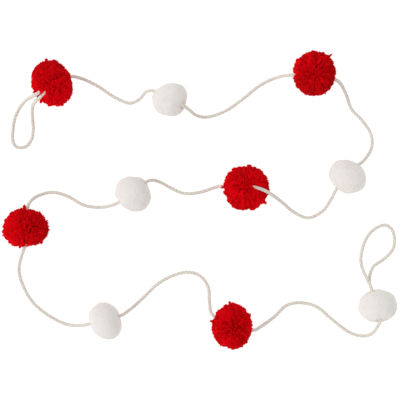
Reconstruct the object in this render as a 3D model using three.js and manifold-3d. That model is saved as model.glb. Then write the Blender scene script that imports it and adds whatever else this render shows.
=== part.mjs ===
// Felt ball garland: five red yarn pompoms and five white felted wool balls, threaded in turn on one
// cotton cord that is turned back at both ends into a hanging loop. It lies in loose curves on a table.
// Millimetres, +Z up. The origin is on the table, under the middle of the laid-out balls.

import * as THREE from 'three';
import { mergeVertices } from 'three/addons/utils/BufferGeometryUtils.js';
import Module from 'manifold-3d';

const wasm = await Module();
wasm.setup();

// Finishes
const CORD_COTTON = 0xd8d0c6;
const RED_YARN = 0xb90f1a;
const WHITE_WOOL = 0xebe8e3;
const MATTE = { roughness: 0.95, metalness: 0 };

// Cord
const CORD_DIAMETER = 4;
const CORD_SIDES = 8;
const CORD_LIES = CORD_DIAMETER / 2; // height of its middle line where it lies on the table
const THREADING_GAP = 0.4; // left all round the cord where it goes through or over a ball

// Yarn pompoms: across the widest, across the narrowest and the widest's turn from +X, seen from above.
// The cord goes through along the direction given by its turn from +X and its rise from the table.
const POMPOMS = [
  { x: -178.5, y: 141, wide: 59.5, narrow: 49.5, turn: 117, cordTurn: 220, cordRise: 44 },
  { x: 138, y: 152.5, wide: 56.5, narrow: 53.5, turn: 82, cordTurn: 174, cordRise: 11 },
  { x: 56, y: 14.5, wide: 57, narrow: 57, turn: 0, cordTurn: 0, cordRise: 45 },
  { x: -210.5, y: -34, wide: 57.5, narrow: 49.5, turn: 3, cordTurn: 87, cordRise: 0 },
  { x: 39, y: -152.5, wide: 57.5, narrow: 49.5, turn: 86, cordTurn: 159, cordRise: 0 },
];
const POMPOM_HEIGHT = 56; // before it settles on its trimmed underside
const POMPOM_SETTLES = 2; // how far its weight presses the middle down
const BACKING_SHARE = 0.64; // the fused middle, as a share of the pompom
const LOCK_ROOT_SHARE = 0.3; // where a lock starts, inside the backing
const LOCK_CROWN_SHARE = 0.06; // rise of a lock's cut end, as a share of its length
const LOCK_SIDES = 4;
const TRIM_UNEVEN = 0.035; // share by which the trimmed lengths differ
const LOCK_WANDER = 1.2; // degrees that a lock leans out of its row
const LOCK_TWIST = 6; // degrees that a lock is turned about its own length

// Rows of locks from one cord hole round to the other: angle from the cord, how many, half width in degrees
// of each, and how far the row is turned, in places.
const LOCK_ROWS = [
  { polar: 15, count: 3, half: 7.5, shift: 0 },
  { polar: 38.5, count: 8, half: 10.5, shift: 0.3 },
  { polar: 64.3, count: 12, half: 10.5, shift: 0.5 },
  { polar: 90, count: 14, half: 10.5, shift: 0.1 },
  { polar: 115.7, count: 12, half: 10.5, shift: 0.7 },
  { polar: 141.5, count: 8, half: 10.5, shift: 0.2 },
  { polar: 165, count: 3, half: 7.5, shift: 0.5 },
];
const LOCKS_EACH = LOCK_ROWS.reduce((sum, row) => sum + row.count, 0);

// Felted balls: across the widest, across the narrowest and the widest's turn from +X, seen from above. Each
// is pressed in on some sides, at a turn from +X and so deep.
const FELT_BALLS = [
  {
    x: -36, y: 121, wide: 43.5, narrow: 41.5, turn: 25,
    pressed: [{ turn: 105, deep: 1.5 }, { turn: 255, deep: 2 }, { turn: 345, deep: 2 }],
  },
  { x: 178.5, y: 28.5, wide: 47, narrow: 39, turn: 150, pressed: [{ turn: 200, deep: 0.5 }] },
  {
    x: -80.5, y: 8, wide: 45.5, narrow: 42.5, turn: 131,
    pressed: [{ turn: 15, deep: 2 }, { turn: 90, deep: 2 }, { turn: 240, deep: 0.5 }],
  },
  { x: -114, y: -146.5, wide: 46, narrow: 39, turn: 118, pressed: [{ turn: 10, deep: 2 }] },
  { x: 215, y: -128.5, wide: 46.5, narrow: 40.5, turn: 8, pressed: [{ turn: 285, deep: 1 }] },
];
const PRESSED_WIDE = 25; // degrees from the middle of a pressed place to where it is a third as deep
const FELT_AROUND = 20;
const FELT_DOWN = 14; // the lowest row of facets is the flat spot that the ball rests on
const FELT_LUMPS = 0.007; // share by which the felted surface is out of round
const FELT_WAVES = { x: 2.6, y: 3.1, z: 2.4 }; // how often it rises and falls across the ball

// The cord's middle line, from its hidden end in the first pompom to its hidden end in the last ball, in
// runs from ball to ball: x and y on the table, and the height. A point without a height lies on the table.
// Between two runs the cord goes straight through a ball.
const LEFT_LOOP = [
  [-186.2, 132.4, 38],
  [-191.2, 129.3, 39.5],
  [-196.8, 126.2, 37],
  [-204, 124, 25],
  [-213.5, 120.5, 10],
  [-222.5, 110.5],
  [-227.5, 98],
  [-229.5, 84.5],
  [-230, 75],
  [-226.5, 66],
  [-220, 64],
  [-212, 66.5],
  [-206.5, 74.5],
  [-204.5, 86.5],
  [-205.5, 101.5, 3],
  [-204, 113, 12],
  [-198.5, 119, 25.5],
  [-191.5, 123.2, 36.5],
  [-184.8, 128.6, 42],
  [-178, 134, 37],
];
const FIRST_TO_SECOND = [
  [-158, 150.5, 9],
  [-144, 148.5, 3],
  [-122, 137.5],
  [-110.5, 129.5],
  [-101, 124],
  [-86, 118.5],
  [-74.5, 123, 5],
  [-65, 132, 13],
  [-55.5, 132, 19],
];
const SECOND_TO_THIRD = [
  [-22, 114.5, 33],
  [-13.5, 109, 24],
  [-4, 103, 9],
  [8, 101.5],
  [30, 108.5],
  [52, 123.5],
  [73.5, 140.5],
  [90, 148.5, 5],
  [104.5, 151, 19],
  [117.5, 150.5, 29],
];
const THIRD_TO_FOURTH = [
  [162.5, 146, 20],
  [171, 142, 11],
  [179, 129.5],
  [185.5, 111.5],
  [198.5, 97.5],
  [209.5, 80],
  [210, 64, 3],
  [200, 48.5, 12],
  [190.5, 41, 20],
];
const FOURTH_TO_FIFTH = [
  [165.5, 13.5, 20],
  [159.5, 0, 8],
  [149, -14.5],
  [132, -22],
  [115, -15],
  [100, -3, 14],
  [85, 7, 34],
  [76, 11.8, 43.5],
  [66.5, 14.8, 47],
  [56, 16.5, 44.5],
];
const FIFTH_TO_SIXTH = [
  [33.5, 17, 10],
  [22, 16.5, 3.5],
  [0, 9.5],
  [-20, 8],
  [-38, 16],
  [-49.5, 22, 8],
  [-58, 24, 17],
  [-65.5, 21.5, 26],
];
const SIXTH_TO_SEVENTH = [
  [-99, -3, 20],
  [-108, -6.5, 11],
  [-122, -9],
  [-142, -6.5],
  [-162, 4.5],
  [-181, 9.5],
  [-196, 6, 6],
  [-205.5, -1.5, 17],
  [-208.5, -9, 22],
];
const SEVENTH_TO_EIGHTH = [
  [-212.5, -57, 22],
  [-217.5, -68, 11],
  [-222, -85],
  [-217.5, -104],
  [-204.5, -126],
  [-183.5, -143],
  [-163, -152.5],
  [-147, -153, 10],
  [-132.5, -149.5, 23],
];
const EIGHTH_TO_NINTH = [
  [-97.5, -140.5, 24],
  [-86, -134, 12],
  [-72, -122],
  [-52, -103],
  [-33, -92.5],
  [-14, -88.5],
  [0.5, -93.5],
  [10, -107, 4],
  [11.5, -125.5, 13],
  [15.5, -139.5, 22],
];
const NINTH_TO_TENTH = [
  [64, -157.5, 22],
  [74, -154.5, 11],
  [89.5, -144.5],
  [106.5, -129],
  [123, -126],
  [143, -131],
  [163, -147.5],
  [183.5, -162.5],
  [197, -166.5, 3],
  [207.5, -163.5, 12],
  [213, -154.5, 25],
  [216, -144, 33],
];
const RIGHT_LOOP = [
  [208, -109.5, 24.5],
  [205.5, -102, 19],
  [202, -93, 11],
  [198, -81.5, 3],
  [197, -70.5],
  [202.5, -49.5],
  [212.8, -36.4],
  [226.4, -30.8],
  [234.4, -35.4],
  [238.4, -48],
  [235.8, -61.2],
  [224.5, -73],
  [212.5, -81.5, 2.5],
  [208.5, -90.5, 3.5],
  [206.5, -99.5, 9.5],
  [208, -107.5, 16],
  [212, -118, 19],
];
const RUNS = [
  LEFT_LOOP, FIRST_TO_SECOND, SECOND_TO_THIRD, THIRD_TO_FOURTH, FOURTH_TO_FIFTH, FIFTH_TO_SIXTH,
  SIXTH_TO_SEVENTH, SEVENTH_TO_EIGHTH, EIGHTH_TO_NINTH, NINTH_TO_TENTH, RIGHT_LOOP,
];
const route = RUNS.flat().map(([x, y, height = CORD_LIES]) => new THREE.Vector3(x, y, height));

const UP = new THREE.Vector3(0, 0, 1);
const pompomMiddle = ({ x, y }) => new THREE.Vector3(x, y, POMPOM_HEIGHT / 2 - POMPOM_SETTLES);
const flatSpotPolar = Math.PI / FELT_DOWN;
const feltHeight = ({ wide, narrow }) => (wide + narrow) / 2;
const feltMiddle = (ball) =>
  new THREE.Vector3(ball.x, ball.y, (feltHeight(ball) / 2) * Math.cos(flatSpotPolar));

// A smooth curve through the route, with a section at every point, each set upright so that a flat of the
// cord lies on the table.
class LaidCurve extends THREE.CatmullRomCurve3 {
  getUtoTmapping(u) {
    return u;
  }

  computeFrenetFrames(segments) {
    const frames = { tangents: [], normals: [], binormals: [] };
    for (let i = 0; i <= segments; i += 1) {
      const tangent = this.getTangentAt(i / segments);
      const side = tangent.clone().cross(UP).normalize();
      frames.tangents.push(tangent);
      frames.normals.push(side.clone().cross(tangent));
      frames.binormals.push(side);
    }
    return frames;
  }
}

// A tube along points, with flats this far from its middle line.
function tube(points, flatRadius) {
  const corner = flatRadius / Math.cos(Math.PI / CORD_SIDES);
  const section = new THREE.Shape(
    Array.from({ length: CORD_SIDES }, (_, i) => {
      const angle = ((i + 0.5) * 2 * Math.PI) / CORD_SIDES;
      return new THREE.Vector2(corner * Math.cos(angle), corner * Math.sin(angle));
    }),
  );
  return new THREE.ExtrudeGeometry(section, {
    steps: points.length - 1,
    extrudePath: new LaidCurve(points),
  });
}

// The same points, with both ends drawn out by a distance.
function drawnOut(points, distance) {
  const grow = (end, next) => end.clone().add(end.clone().sub(next).setLength(distance));
  const last = points.length - 1;
  return [grow(points[0], points[1]), ...points.slice(1, last), grow(points[last], points[last - 1])];
}

// A closed solid from a geometry: equal points merged, and facets with no area left out.
function solid(geometry) {
  const bare = new THREE.BufferGeometry();
  bare.setAttribute('position', geometry.getAttribute('position'));
  bare.setIndex(geometry.getIndex());
  const merged = mergeVertices(bare);
  const corners = merged.getIndex().array;
  const facets = [];
  for (let i = 0; i < corners.length; i += 3) {
    const [a, b, c] = corners.slice(i, i + 3);
    if (a !== b && b !== c && c !== a) facets.push(a, b, c);
  }
  return new wasm.Manifold(
    new wasm.Mesh({
      numProp: 3,
      vertProperties: merged.getAttribute('position').array,
      triVerts: Uint32Array.from(facets),
    }),
  );
}

// A geometry from the largest body of a solid, because threading the cord can cut a small end off.
function largestBody(body) {
  const [largest] = body.decompose().sort((a, b) => b.volume() - a.volume());
  const { vertProperties, triVerts } = largest.getMesh();
  const geometry = new THREE.BufferGeometry();
  geometry.setAttribute('position', new THREE.BufferAttribute(vertProperties, 3));
  geometry.setIndex(new THREE.BufferAttribute(triVerts, 1));
  geometry.computeVertexNormals();
  return geometry;
}

// A repeatable value from -1 to 1 for each whole number.
function wander(n) {
  return 2 * THREE.MathUtils.seededRandom(n + 1) - 1;
}

// A lock's direction and turn: its row's angle from the cord and its place round the row.
function lockTurn(pompom, row, place, n) {
  const { degToRad } = THREE.MathUtils;
  const cord = new THREE.Vector3(
    Math.cos(degToRad(pompom.cordRise)) * Math.cos(degToRad(pompom.cordTurn)),
    Math.cos(degToRad(pompom.cordRise)) * Math.sin(degToRad(pompom.cordTurn)),
    Math.sin(degToRad(pompom.cordRise)),
  );
  const alongCord = new THREE.Quaternion().setFromUnitVectors(new THREE.Vector3(0, 1, 0), cord);
  const round = (2 * Math.PI * (place + row.shift)) / row.count;
  const lean = new THREE.Euler(
    0,
    round + degToRad(LOCK_WANDER * wander(4 * n)),
    degToRad(row.polar + LOCK_WANDER * wander(4 * n + 1)),
    'YZX',
  );
  const twist = Math.PI / LOCK_SIDES + degToRad(LOCK_TWIST * wander(4 * n + 2));
  return alongCord
    .multiply(new THREE.Quaternion().setFromEuler(lean))
    .multiply(new THREE.Quaternion().setFromAxisAngle(new THREE.Vector3(0, 1, 0), twist));
}

// How far a pompom reaches in a direction from its middle.
function pompomReach(pompom, direction) {
  const turned = direction.clone().applyAxisAngle(UP, -THREE.MathUtils.degToRad(pompom.turn));
  const { wide, narrow } = pompom;
  return 1 / Math.hypot(turned.x / (wide / 2), turned.y / (narrow / 2), turned.z / (POMPOM_HEIGHT / 2));
}

// One lock of yarn: it flares from its root to a low pointed end.
function lockGeometry(reach, half) {
  const flare = Math.tan(THREE.MathUtils.degToRad(half)) * Math.SQRT2;
  const root = reach * LOCK_ROOT_SHARE;
  const shoulder = reach * (1 - LOCK_CROWN_SHARE);
  const profile = [
    new THREE.Vector2(0, root),
    new THREE.Vector2(root * flare, root),
    new THREE.Vector2(shoulder * flare, shoulder),
    new THREE.Vector2(0, reach),
  ];
  return new THREE.LatheGeometry(profile, LOCK_SIDES);
}

// A lock that would go through the table is shorter, so that its end just rests on it.
function laidLock(pompom, row, place, n) {
  const middle = pompomMiddle(pompom);
  const turn = lockTurn(pompom, row, place, n);
  const direction = new THREE.Vector3(0, 1, 0).applyQuaternion(turn);
  const reach = pompomReach(pompom, direction) * (1 + TRIM_UNEVEN * wander(4 * n + 3));
  const lock = lockGeometry(reach, row.half).applyQuaternion(turn);
  lock.computeBoundingBox();
  const shorter = Math.min(1, middle.z / -lock.boundingBox.min.z);
  if (lock.boundingBox.min.z < 0) lock.scale(shorter, shorter, shorter);
  return lock.translate(middle.x, middle.y, middle.z);
}

function pompomSolid(pompom, index) {
  const middle = pompomMiddle(pompom);
  const backing = new THREE.IcosahedronGeometry(BACKING_SHARE / 2)
    .scale(pompom.wide, pompom.narrow, POMPOM_HEIGHT)
    .rotateZ(THREE.MathUtils.degToRad(pompom.turn))
    .translate(middle.x, middle.y, middle.z);
  let body = solid(backing);
  let n = index * LOCKS_EACH;
  for (const row of LOCK_ROWS) {
    for (let place = 0; place < row.count; place += 1) {
      body = body.add(solid(laidLock(pompom, row, place, n)));
      n += 1;
    }
  }
  return body;
}

// How far a felted ball is pressed in along a direction: a bell round the middle of each pressed place.
function pressedIn(ball, direction) {
  const { degToRad, radToDeg } = THREE.MathUtils;
  const bells = ball.pressed.map(({ turn, deep }) => {
    const place = new THREE.Vector3(1, 0, 0).applyAxisAngle(UP, degToRad(turn - ball.turn));
    const off = radToDeg(direction.angleTo(place)) / PRESSED_WIDE;
    return deep * Math.exp(-(off ** 2));
  });
  return bells.reduce((sum, bell) => sum + bell, 0);
}

// A felted ball: a slightly lumpy egg, pressed in on some sides, with a small flat spot underneath.
function feltSolid(ball, index) {
  const middle = feltMiddle(ball);
  const geometry = new THREE.SphereGeometry(1, FELT_AROUND, FELT_DOWN).rotateX(Math.PI / 2);
  const points = geometry.getAttribute('position');
  const flatBelow = -Math.cos(1.5 * flatSpotPolar); // half way between the lowest two rows
  const point = new THREE.Vector3();
  for (let i = 0; i < points.count; i += 1) {
    point.fromBufferAttribute(points, i);
    const flat = point.z < flatBelow;
    const across = Math.sin(FELT_WAVES.x * point.x + 2 * index);
    const along = Math.sin(FELT_WAVES.y * point.y - index) * Math.cos(FELT_WAVES.z * point.z);
    const inward = point.clone().multiplyScalar(-pressedIn(ball, point));
    point.multiplyScalar(1 + FELT_LUMPS * (across + along));
    point.multiply(new THREE.Vector3(ball.wide / 2, ball.narrow / 2, feltHeight(ball) / 2)).add(inward);
    if (flat) point.z = -middle.z;
    points.setXYZ(i, point.x, point.y, point.z);
  }
  geometry.rotateZ(THREE.MathUtils.degToRad(ball.turn)).translate(middle.x, middle.y, middle.z);
  return solid(geometry);
}

function threadedBall(name, middle, body, bore, material) {
  const geometry = largestBody(body.subtract(bore)).translate(-middle.x, -middle.y, -middle.z);
  const mesh = new THREE.Mesh(geometry, material);
  mesh.name = name;
  mesh.position.copy(middle);
  return mesh;
}

const bore = solid(tube(drawnOut(route, THREADING_GAP), CORD_LIES + THREADING_GAP));

const garland = new THREE.Group();
const cord = new THREE.Mesh(
  tube(route, CORD_LIES),
  new THREE.MeshStandardMaterial({ color: CORD_COTTON, ...MATTE }),
);
cord.name = 'cord';
garland.add(cord);

POMPOMS.forEach((pompom, i) => {
  const yarn = new THREE.MeshStandardMaterial({ color: RED_YARN, ...MATTE });
  garland.add(threadedBall(`pompom_${i + 1}`, pompomMiddle(pompom), pompomSolid(pompom, i), bore, yarn));
});
FELT_BALLS.forEach((ball, i) => {
  const wool = new THREE.MeshStandardMaterial({ color: WHITE_WOOL, ...MATTE });
  garland.add(threadedBall(`felt_ball_${i + 1}`, feltMiddle(ball), feltSolid(ball, i), bore, wool));
});

export default garland;
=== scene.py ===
# %% [markdown]
# # Felt ball garland
# Five red yarn pompoms and five white felted wool balls are threaded in turn on one cotton cord, which is
# turned back into a hanging loop at both ends. The garland lies in loose curves on a white table.
#
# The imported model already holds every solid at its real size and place, in metres. This lesson loads it as a
# fixed frame and dresses it: twisted cotton for the cord, cut yarn for the pompoms, fuzzy felt for the balls.

import bpy
import numpy as np
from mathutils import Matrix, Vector


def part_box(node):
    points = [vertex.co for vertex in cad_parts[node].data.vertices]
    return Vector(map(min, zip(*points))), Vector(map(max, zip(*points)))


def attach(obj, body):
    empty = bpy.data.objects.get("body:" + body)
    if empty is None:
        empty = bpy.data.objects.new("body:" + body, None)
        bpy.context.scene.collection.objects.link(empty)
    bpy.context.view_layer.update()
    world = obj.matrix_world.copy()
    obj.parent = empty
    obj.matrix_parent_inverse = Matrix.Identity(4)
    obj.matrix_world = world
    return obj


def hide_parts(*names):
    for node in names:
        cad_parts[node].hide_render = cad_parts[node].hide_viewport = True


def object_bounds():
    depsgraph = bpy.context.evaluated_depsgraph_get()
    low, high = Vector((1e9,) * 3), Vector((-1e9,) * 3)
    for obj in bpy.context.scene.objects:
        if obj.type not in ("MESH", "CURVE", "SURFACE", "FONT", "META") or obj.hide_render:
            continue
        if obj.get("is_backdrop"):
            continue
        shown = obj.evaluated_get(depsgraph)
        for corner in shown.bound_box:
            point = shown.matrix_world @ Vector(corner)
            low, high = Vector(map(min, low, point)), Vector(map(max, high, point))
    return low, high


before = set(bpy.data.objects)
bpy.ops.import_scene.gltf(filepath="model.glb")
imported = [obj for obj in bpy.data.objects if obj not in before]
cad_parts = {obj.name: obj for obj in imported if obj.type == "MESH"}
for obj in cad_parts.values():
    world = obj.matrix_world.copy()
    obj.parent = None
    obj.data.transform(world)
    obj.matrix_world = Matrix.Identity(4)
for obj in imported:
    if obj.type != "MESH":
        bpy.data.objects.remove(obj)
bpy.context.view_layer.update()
print("nodes:", ", ".join(sorted(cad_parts)))

# %% [markdown]
# The picture looks straight down on the table. A camera that hangs high over the middle with a long lens does
# the same, and keeps the balls near the edges from leaning outwards. The lens follows from two lengths that
# are easy to measure: how high the camera hangs, and how much of the table fills the picture.

# %% Camera
CAMERA_HEIGHT = 1.5
TABLE_IN_VIEW = 0.491

camera_data = bpy.data.cameras.new("camera")
camera_data.lens = camera_data.sensor_width * CAMERA_HEIGHT / TABLE_IN_VIEW
camera = bpy.data.objects.new("camera", camera_data)
camera.location = (0, 0, CAMERA_HEIGHT)
bpy.context.scene.collection.objects.link(camera)
bpy.context.scene.camera = camera
bpy.context.scene.view_settings.view_transform = "Standard"
print("lens", round(camera_data.lens, 1), "mm")

# %% [markdown]
# Every soft thing here is a tube that closes at both ends. The cord is one very long tube, a strand of yarn
# is a short thin one, and a ball is a fat one whose rings run from pole to pole. Blender has primitives and
# curves for some of these, but rings of points in one numpy array serve them all, thousands at a time.

# %% Closed tubes from rings of points
def unit(vectors):
    """Vectors divided by their own length."""
    return vectors / np.linalg.norm(vectors, axis=-1, keepdims=True)


def closed_tubes(rings, ends):
    """Points, four-cornered walls and three-cornered caps of closed tubes.

    rings holds (tubes, rings, points, 3), each ring counterclockwise about the tube's own direction, and ends
    holds (tubes, 2, 3). A wall joins point j of ring k with point j + 1 and with ring k + 1. The first and
    the last ring close on their end point in a fan.
    """
    tubes, count, around = rings.shape[:3]
    points = np.concatenate([rings.reshape(tubes, -1, 3), ends], axis=1)
    ring = np.arange(count * around).reshape(count, around)
    ahead = np.roll(ring, -1, axis=1)
    walls = np.stack([ring[:-1], ahead[:-1], ahead[1:], ring[1:]], axis=-1).reshape(-1, 4)
    first_end = np.full(around, count * around)
    first_cap = np.stack([first_end, ahead[0], ring[0]], axis=-1)
    last_cap = np.stack([first_end + 1, ring[-1], ahead[-1]], axis=-1)
    caps = np.concatenate([first_cap, last_cap])
    offset = points.shape[1] * np.arange(tubes)[:, None, None]
    return points.reshape(-1, 3), (walls + offset).reshape(-1, 4), (caps + offset).reshape(-1, 3)


def along_tubes(values, around):
    """One value for each tube and ring, given to every point of the ring and to the end point next to it."""
    on_rings = np.repeat(values, around, axis=1)
    return np.concatenate([on_rings, values[:, [0, -1]]], axis=1).ravel()


# %% [markdown]
# A mesh takes its points, its corners and the corner that each face starts at as three flat arrays. Extra
# numbers for the finish, such as how far along its strand a point lies, ride on the points as attributes.

# %% A mesh piece from closed tubes
def add_piece(name, shells, **attributes):
    """A smooth mesh object at the origin from several shells, each as closed_tubes gives it.

    An attribute is an array with one number for every point of all the shells in turn.
    """
    first = np.cumsum([0] + [len(shell[0]) for shell in shells])
    points = np.concatenate([shell[0] for shell in shells])
    walls = np.concatenate([shell[1] + start for shell, start in zip(shells, first)])
    caps = np.concatenate([shell[2] + start for shell, start in zip(shells, first)])
    wall_starts = 4 * np.arange(len(walls))
    cap_starts = 4 * len(walls) + 3 * np.arange(len(caps))

    mesh = bpy.data.meshes.new(name)
    mesh.vertices.add(len(points))
    mesh.vertices.foreach_set("co", points.astype(np.float32).ravel())
    mesh.loops.add(walls.size + caps.size)
    mesh.loops.foreach_set("vertex_index", np.concatenate([walls.ravel(), caps.ravel()]).astype(np.int32))
    mesh.polygons.add(len(walls) + len(caps))
    mesh.polygons.foreach_set("loop_start", np.concatenate([wall_starts, cap_starts]).astype(np.int32))
    mesh.update(calc_edges=True)
    mesh.shade_smooth()
    for label, values in attributes.items():
        layer = mesh.attributes.new(label, "FLOAT", "POINT")
        layer.data.foreach_set("value", values.astype(np.float32))
    piece = bpy.data.objects.new(name, mesh)
    bpy.context.scene.collection.objects.link(piece)
    print(name, "has", 2 * len(walls) + len(caps), "triangles")
    return piece


# %% [markdown]
# Loose fibres stand off spun cotton and felted wool, and soften their edges. They are short, about as fine
# as a hair, and lie nearly flat. Particle hair would not reach the exported meshes, so they are thousands of
# curled tubes with three sides.

# %% Loose fibres
FIBRE_AROUND = 3
FIBRE_RADIUS = 0.00005
FIBRE_SUNK = 0.0003  # depth under the skin at which a fibre starts
FIBRE_BEND = 0.6  # most that a fibre bends to one side, as a share of its length


def frames_across(headings, rng):
    """Two unit vectors across each heading, turned at random, so that first x second gives the heading."""
    first = unit(np.cross(headings, rng.normal(size=headings.shape)))
    return first, np.cross(headings, first)


def loose_fibres(skin, out, kind, rng):
    """Closed tubes of fibres that leave points of a skin on a slant and bend over to one side.

    kind holds the places of the rings and the ranges of length and lift. At place t a fibre has gone t times
    its length, up by its lift and along the skin by the rest, and t squared times its bend to the side. None
    goes under the table.
    """
    count = len(out)
    along, across = frames_across(out, rng)
    places = np.append(kind["places"], 1.0)[:, None]
    length = rng.uniform(*kind["length"], (count, 1, 1))
    lift = rng.uniform(*kind["lift"], (count, 1, 1))
    bend = rng.uniform(-FIBRE_BEND, FIBRE_BEND, (count, 1, 1))
    line = (
        (skin - FIBRE_SUNK * out)[:, None]
        + length * places * (lift * out[:, None] + (1 - lift) * along[:, None])
        + length * bend * places**2 * across[:, None]
    )
    angle = 2 * np.pi * np.arange(FIBRE_AROUND) / FIBRE_AROUND
    circle = np.cos(angle)[:, None] * along[:, None] + np.sin(angle)[:, None] * across[:, None]
    rings = line[:, :-1, None] + FIBRE_RADIUS * circle[:, None]
    fibres = closed_tubes(rings, line[:, [0, -1]])
    fibres[0][:, 2] = np.maximum(fibres[0][:, 2], 0)
    return fibres


# %% [markdown]
# The cord is a limp cotton cord 4 mm thick. It starts hidden in the first pompom, makes the left loop, goes
# from ball to ball and ends hidden in the last ball after the right loop. A rope could be simulated, but this
# lay is known, so its middle line goes through given points, in runs from ball to ball. A point
# without a height lies on the table.

# %% Cord route
CORD_DIAMETER = 0.004
CORD_LIES = CORD_DIAMETER / 2
CORD_RUNS = {
    "left loop": [
        (-0.1862, 0.1324, 0.038), (-0.1912, 0.1293, 0.0395), (-0.1968, 0.1262, 0.037),
        (-0.204, 0.124, 0.025), (-0.2135, 0.1205, 0.01), (-0.2225, 0.1105), (-0.2275, 0.098),
        (-0.2295, 0.0845), (-0.23, 0.075), (-0.2265, 0.066), (-0.22, 0.064), (-0.212, 0.0665),
        (-0.2065, 0.0745), (-0.2045, 0.0865), (-0.2055, 0.1015, 0.003), (-0.204, 0.113, 0.012),
        (-0.1985, 0.119, 0.0255), (-0.1915, 0.1232, 0.0365), (-0.1848, 0.1286, 0.042),
        (-0.178, 0.134, 0.037),
    ],
    "first to second": [
        (-0.158, 0.1505, 0.009), (-0.144, 0.1485, 0.003), (-0.122, 0.1375), (-0.1105, 0.1295),
        (-0.101, 0.124), (-0.086, 0.1185), (-0.0745, 0.123, 0.005), (-0.065, 0.132, 0.013),
        (-0.0555, 0.132, 0.019),
    ],
    "second to third": [
        (-0.022, 0.1145, 0.033), (-0.0135, 0.109, 0.024), (-0.004, 0.103, 0.009), (0.008, 0.1015),
        (0.03, 0.1085), (0.052, 0.1235), (0.0735, 0.1405), (0.09, 0.1485, 0.005), (0.1045, 0.151, 0.019),
        (0.1175, 0.1505, 0.029),
    ],
    "third to fourth": [
        (0.1625, 0.146, 0.02), (0.171, 0.142, 0.011), (0.179, 0.1295), (0.1855, 0.1115),
        (0.1985, 0.0975), (0.2095, 0.08), (0.21, 0.064, 0.003), (0.2, 0.0485, 0.012),
        (0.1905, 0.041, 0.02),
    ],
    "fourth to fifth": [
        (0.1655, 0.0135, 0.02), (0.1595, 0, 0.008), (0.149, -0.0145), (0.132, -0.022), (0.115, -0.015),
        (0.1, -0.003, 0.014), (0.085, 0.007, 0.034), (0.076, 0.0118, 0.0435), (0.0665, 0.0148, 0.047),
        (0.056, 0.0165, 0.0445),
    ],
    "fifth to sixth": [
        (0.0335, 0.017, 0.01), (0.022, 0.0165, 0.0035), (0, 0.0095), (-0.02, 0.008), (-0.038, 0.016),
        (-0.0495, 0.022, 0.008), (-0.058, 0.024, 0.017), (-0.0655, 0.0215, 0.026),
    ],
    "sixth to seventh": [
        (-0.099, -0.003, 0.02), (-0.108, -0.0065, 0.011), (-0.122, -0.009), (-0.142, -0.0065),
        (-0.162, 0.0045), (-0.181, 0.0095), (-0.196, 0.006, 0.006), (-0.2055, -0.0015, 0.017),
        (-0.2085, -0.009, 0.022),
    ],
    "seventh to eighth": [
        (-0.2125, -0.057, 0.022), (-0.2175, -0.068, 0.011), (-0.222, -0.085), (-0.2175, -0.104),
        (-0.2045, -0.126), (-0.1835, -0.143), (-0.163, -0.1525), (-0.147, -0.153, 0.01),
        (-0.1325, -0.1495, 0.023),
    ],
    "eighth to ninth": [
        (-0.0975, -0.1405, 0.024), (-0.086, -0.134, 0.012), (-0.072, -0.122), (-0.052, -0.103),
        (-0.033, -0.0925), (-0.014, -0.0885), (0.0005, -0.0935), (0.01, -0.107, 0.004),
        (0.0115, -0.1255, 0.013), (0.0155, -0.1395, 0.022),
    ],
    "ninth to tenth": [
        (0.064, -0.1575, 0.022), (0.074, -0.1545, 0.011), (0.0895, -0.1445), (0.1065, -0.129),
        (0.123, -0.126), (0.143, -0.131), (0.163, -0.1475), (0.1835, -0.1625), (0.197, -0.1665, 0.003),
        (0.2075, -0.1635, 0.012), (0.213, -0.1545, 0.025), (0.216, -0.144, 0.033),
    ],
    "right loop": [
        (0.208, -0.1095, 0.0245), (0.2055, -0.102, 0.019), (0.202, -0.093, 0.011),
        (0.198, -0.0815, 0.003), (0.197, -0.0705), (0.2025, -0.0495), (0.2128, -0.0364),
        (0.2264, -0.0308), (0.2344, -0.0354), (0.2384, -0.048), (0.2358, -0.0612), (0.2245, -0.073),
        (0.2125, -0.0815, 0.0025), (0.2085, -0.0905, 0.0035), (0.2065, -0.0995, 0.0095),
        (0.208, -0.1075, 0.016), (0.212, -0.118, 0.019),
    ],
}


def smooth_through(knots, per_span):
    """A centripetal Catmull-Rom curve through knots.

    Each span is a cubic. Its slope at a knot blends the spans on both sides, and every span counts by the
    square root of its length, so that a short span beside a long one makes no loop.
    """
    before = 2 * knots[:1] - knots[1:2]
    after = 2 * knots[-1:] - knots[-2:-1]
    knot = np.concatenate([before, knots, after])
    pace = np.sqrt(np.linalg.norm(np.diff(knot, axis=0), axis=1))[:, None]
    p0, p1, p2, p3 = knot[:-3], knot[1:-2], knot[2:-1], knot[3:]
    d0, d1, d2 = pace[:-2], pace[1:-1], pace[2:]
    leaving = d1 * ((p1 - p0) / d0 - (p2 - p0) / (d0 + d1) + (p2 - p1) / d1)
    arriving = d1 * ((p2 - p1) / d1 - (p3 - p1) / (d1 + d2) + (p3 - p2) / d2)
    t = np.linspace(0, 1, per_span, endpoint=False)[:, None, None]
    cubic = (
        (2 * t**3 - 3 * t**2 + 1) * p1
        + (t**3 - 2 * t**2 + t) * leaving
        + (3 * t**2 - 2 * t**3) * p2
        + (t**3 - t**2) * arriving
    )
    return np.concatenate([cubic.swapaxes(0, 1).reshape(-1, 3), knots[-1:]])


def evenly_along(curve, step):
    """Running lengths one step apart, and the points of a curve at those lengths."""
    pieces = np.linalg.norm(np.diff(curve, axis=0), axis=1)
    run = np.concatenate([[0], np.cumsum(pieces)])
    marks = np.linspace(0, run[-1], round(run[-1] / step) + 1)
    return marks, np.stack([np.interp(marks, run, axis) for axis in curve.T], axis=1)


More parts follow.
